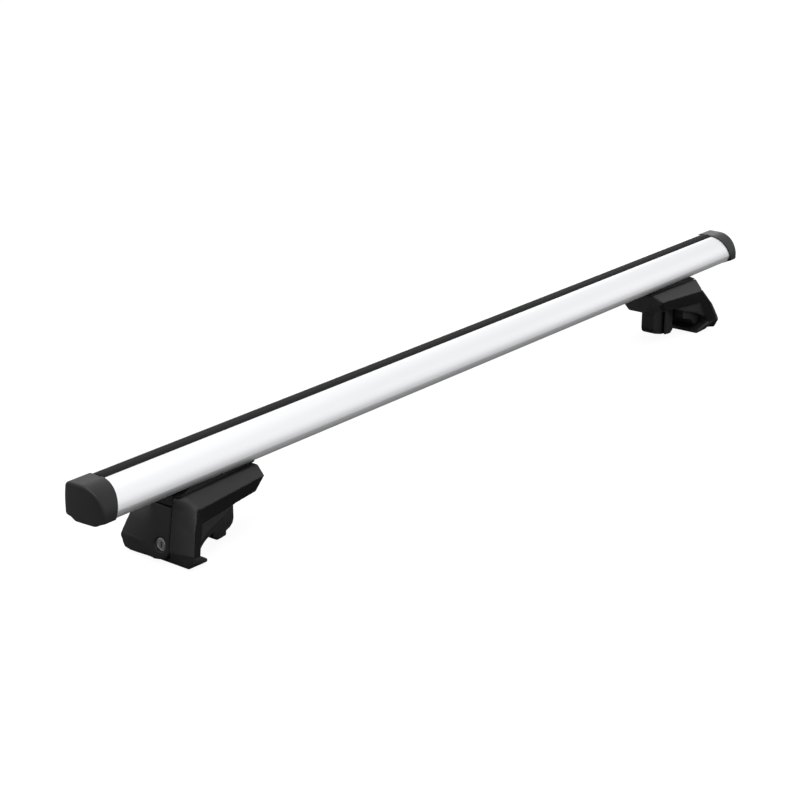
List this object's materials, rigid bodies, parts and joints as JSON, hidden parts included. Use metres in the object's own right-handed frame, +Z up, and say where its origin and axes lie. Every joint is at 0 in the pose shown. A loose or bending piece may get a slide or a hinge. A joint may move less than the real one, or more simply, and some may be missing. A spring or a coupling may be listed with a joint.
{
  "type": "roof rack crossbar",
  "caption": "Aluminium roof rack crossbar with a covered top slot, swing-open end lids and clamping feet that grip raised side rails.",
  "frame": {"origin": "middle of the bar's length and width, at the height of the feet's undersides", "axes": "+X along the bar towards its right end, +Y across the bar towards its upright long side, +Z up"},
  "size_m": [1.2, 0.104, 0.1115],
  "materials": {
    "satin_aluminium": "satin anodised, very fine lines along the bar",
    "strip_rubber": "matt black rubber",
    "black_plastic": "satin black moulded plastic with a fine texture",
    "cover_plastic": "satin black moulded plastic with a fine texture",
    "jaw_plastic": "satin black moulded plastic",
    "pad_rubber": "matt black soft rubber",
    "plain_steel": "zinc-plated",
    "lock_metal": "dull nickel-plated lock face"
  },
  "bodies": {
    "bar": {"crossbar_extrusion": "satin_aluminium", "top_slot_strip": "strip_rubber", "end_plug_left": "black_plastic", "lid_hinge_pin_left": "plain_steel", "plug_screws_left": "plain_steel", "end_plug_right": "black_plastic", "lid_hinge_pin_right": "plain_steel", "plug_screws_right": "plain_steel"},
    "lid_left": {"end_lid_left": "black_plastic"},
    "foot_left": {"foot_housing_left": "black_plastic", "saddle_pad_left": "pad_rubber", "slot_bolts_left": "plain_steel", "slot_bolt_nuts_left": "plain_steel", "rail_seat_pad_left": "pad_rubber", "thrust_washer_left": "plain_steel", "lock_keeper_left": "plain_steel"},
    "cover_left": {"foot_cover_left": "cover_plastic"},
    "lock_left": {"lock_barrel_left": "lock_metal", "lock_cam_left": "plain_steel"},
    "jaw_left": {"clamp_jaw_left": "jaw_plastic", "jaw_nut_left": "plain_steel", "jaw_pad_left": "pad_rubber"},
    "screw_left": {"clamp_screw_left": "plain_steel"},
    "lid_right": {"end_lid_right": "black_plastic"},
    "foot_right": {"foot_housing_right": "black_plastic", "saddle_pad_right": "pad_rubber", "slot_bolts_right": "plain_steel", "slot_bolt_nuts_right": "plain_steel", "rail_seat_pad_right": "pad_rubber", "thrust_washer_right": "plain_steel", "lock_keeper_right": "plain_steel"},
    "cover_right": {"foot_cover_right": "cover_plastic"},
    "lock_right": {"lock_barrel_right": "lock_metal", "lock_cam_right": "plain_steel"},
    "jaw_right": {"clamp_jaw_right": "jaw_plastic", "jaw_nut_right": "plain_steel", "jaw_pad_right": "pad_rubber"},
    "screw_right": {"clamp_screw_right": "plain_steel"}
  },
  "joints": [
    {"name": "foot_slide_left", "type": "slide", "parent": "bar", "child": "foot_left", "axis": [-1, 0, 0], "range_m": [-0.15, 0.03]},
    {"name": "lid_hinge_left", "type": "hinge", "parent": "bar", "child": "lid_left", "pos_m": [-0.592, 0, 0.0736], "axis": [0, -1, 0], "range_deg": [0, 100]},
    {"name": "cover_off_left", "type": "slide", "parent": "foot_left", "child": "cover_left", "axis": [-1, 0, 0], "range_m": [0, 0.04]},
    {"name": "lock_turn_left", "type": "hinge", "parent": "cover_left", "child": "lock_left", "pos_m": [-0.5, -0.002, 0.0183], "axis": [-1, 0, 0], "range_deg": [0, 90]},
    {"name": "jaw_slide_left", "type": "slide", "parent": "foot_left", "child": "jaw_left", "axis": [-1, 0, 0], "range_m": [-0.014, 0.006]},
    {"name": "screw_turn_left", "type": "hinge", "parent": "foot_left", "child": "screw_left", "pos_m": [-0.48, 0, 0.0505], "axis": [1, 0, 0], "range_deg": [-4032, 1728]},
    {"name": "foot_slide_right", "type": "slide", "parent": "bar", "child": "foot_right", "axis": [1, 0, 0], "range_m": [-0.15, 0.03]},
    {"name": "lid_hinge_right", "type": "hinge", "parent": "bar", "child": "lid_right", "pos_m": [0.592, 0, 0.0736], "axis": [0, 1, 0], "range_deg": [0, 100]},
    {"name": "cover_off_right", "type": "slide", "parent": "foot_right", "child": "cover_right", "axis": [1, 0, 0], "range_m": [0, 0.04]},
    {"name": "lock_turn_right", "type": "hinge", "parent": "cover_right", "child": "lock_right", "pos_m": [0.5, 0.002, 0.0183], "axis": [1, 0, 0], "range_deg": [0, 90]},
    {"name": "jaw_slide_right", "type": "slide", "parent": "foot_right", "child": "jaw_right", "axis": [1, 0, 0], "range_m": [-0.014, 0.006]},
    {"name": "screw_turn_right", "type": "hinge", "parent": "foot_right", "child": "screw_right", "pos_m": [0.48, 0, 0.0505], "axis": [-1, 0, 0], "range_deg": [-4032, 1728]}
  ],
  "couplings": [
    {"joint": "screw_turn_left", "follows": "jaw_slide_left", "rad_per_m": 5026.5},
    {"joint": "screw_turn_right", "follows": "jaw_slide_right", "rad_per_m": 5026.5}
  ]
}
